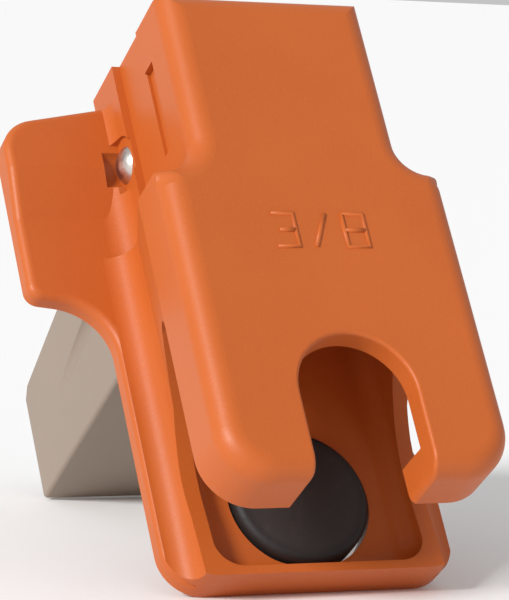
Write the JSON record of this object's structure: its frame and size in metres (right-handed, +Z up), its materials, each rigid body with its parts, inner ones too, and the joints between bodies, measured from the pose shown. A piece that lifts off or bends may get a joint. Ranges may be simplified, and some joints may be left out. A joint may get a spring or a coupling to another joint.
{
  "type": "rope grab",
  "caption": "Hand-held rope grab with a forked orange plastic body, a hinged grey lever that presses a rubber pad against the rope, and a finger ear.",
  "frame": {"origin": "centre of the tool's bounding box at bench level: the tool leans back on its tray's rear edge and the lever's end", "axes": "+Z up from the bench, +X across the tool to its right as seen from the fork, +Y from the fork towards the lever's end"},
  "size_m": [0.0378, 0.072, 0.055],
  "materials": {
    "orange_plastic": "satin moulded, fine grain",
    "grey_plastic": "satin moulded",
    "pin_steel": "bright, peened head",
    "spring_steel": "bright wire",
    "pad_rubber": "moulded, slightly worn",
    "zinc_steel": "zinc plated",
    "bush_plastic": "natural acetal"
  },
  "bodies": {
    "housing": {"body": "orange_plastic", "pivot_pin": "pin_steel", "pin_clip": "spring_steel", "return_spring": "spring_steel"},
    "lever": {"lever": "grey_plastic", "left_bush": "bush_plastic", "right_bush": "bush_plastic", "grip_pad": "pad_rubber", "pad_backing": "zinc_steel", "pad_washer": "zinc_steel", "pad_screw": "zinc_steel"}
  },
  "joints": [
    {"name": "grip_hinge", "type": "hinge", "parent": "housing", "child": "lever", "pos_m": [0.00395, 0.00113, 0.0383], "axis": [-1, 0, 0], "range_deg": [0, 7], "stiffness_Nm_per_rad": 0.02, "springref_deg": -34.38, "deforming": ["return_spring"]}
  ]
}
